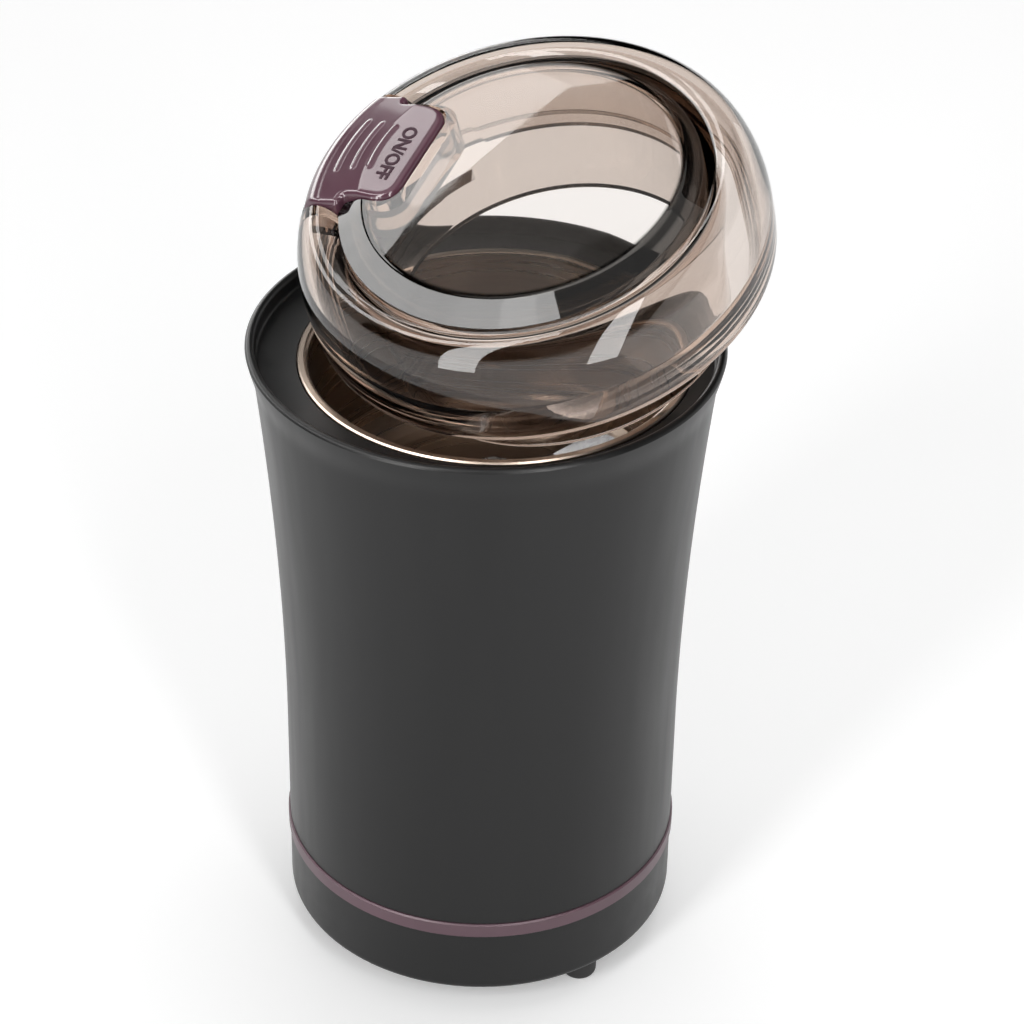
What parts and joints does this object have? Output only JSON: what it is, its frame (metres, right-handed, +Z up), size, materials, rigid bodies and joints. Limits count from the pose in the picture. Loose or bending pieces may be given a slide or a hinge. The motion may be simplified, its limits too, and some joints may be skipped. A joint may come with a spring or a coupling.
{
  "type": "electric coffee grinder",
  "caption": "Blade coffee grinder: flared black motor body, steel grinding bowl, and a smoky clear lid with a push button, lifted off and leaning on the rim.",
  "frame": {"origin": "on the body's axis, on the surface under the feet", "axes": "+Z up; the cord inlet is at +Y, so the front faces -Y; +X to the right seen from the front"},
  "size_m": [0.1042, 0.0984, 0.1906],
  "materials": {
    "shell_black": "satin",
    "base_black": "satin",
    "accent_purple": "satin",
    "button_purple": "gloss",
    "lid_clear": "gloss",
    "foot_rubber": "matte",
    "seal_rubber": "matte",
    "bowl_steel": "satin",
    "screw_steel": "satin",
    "cast_alloy": "matte",
    "bronze": "satin",
    "lamination": "matte",
    "copper_wire": "satin",
    "moulded_carrier": "matte",
    "carbon": "matte",
    "fan_plastic": "matte",
    "shaft_steel": "satin",
    "switch_plastic": "matte"
  },
  "bodies": {
    "housing": {"body_shell": "shell_black", "accent_ring": "accent_purple", "base_cap": "base_black", "feet": "foot_rubber", "base_screws": "screw_steel", "cord_inlet": "seal_rubber", "grinding_bowl": "bowl_steel", "bowl_gasket": "seal_rubber", "bowl_screws": "screw_steel", "shaft_seal": "seal_rubber", "motor_bracket": "cast_alloy", "mount_grommets": "seal_rubber", "mount_screws": "screw_steel", "upper_bearing": "bronze", "field_stack": "lamination", "field_coils": "copper_wire", "brush_carrier": "moulded_carrier", "lower_bearing": "bronze", "brush_holders": "bronze", "carbon_brushes": "carbon", "motor_bolts": "screw_steel", "safety_switch": "switch_plastic", "switch_screws": "screw_steel", "plunger_spring": "screw_steel"},
    "rotor": {"motor_shaft": "shaft_steel", "armature": "copper_wire", "commutator": "copper_wire", "cooling_fan": "fan_plastic", "grinding_blade": "shaft_steel", "blade_nut": "screw_steel"},
    "lid": {"lid_shell": "lid_clear", "button_spring": "screw_steel"},
    "button": {"button_cap": "button_purple", "push_rod": "button_purple"},
    "plunger": {"switch_plunger": "switch_plastic"}
  },
  "joints": [
    {"name": "blade_spin", "type": "hinge", "parent": "housing", "child": "rotor", "pos_m": [0.00187, -0.00117, 0.1], "axis": [0, 0, 1], "continuous": true},
    {"name": "lid_lift", "type": "slide", "parent": "housing", "child": "lid", "axis": [0, 0, 1], "range_m": [0, 0.08]},
    {"name": "button_press", "type": "slide", "parent": "lid", "child": "button", "axis": [0.2108, 0.2567, -0.9432], "range_m": [0, 0.0025], "stiffness_N_per_m": 400, "springref_m": -0.002, "deforming": ["button_spring"]},
    {"name": "plunger_press", "type": "slide", "parent": "housing", "child": "plunger", "axis": [0, 0, -1], "range_m": [0, 0.0022], "stiffness_N_per_m": 400, "springref_m": -0.002, "deforming": ["plunger_spring"]}
  ]
}
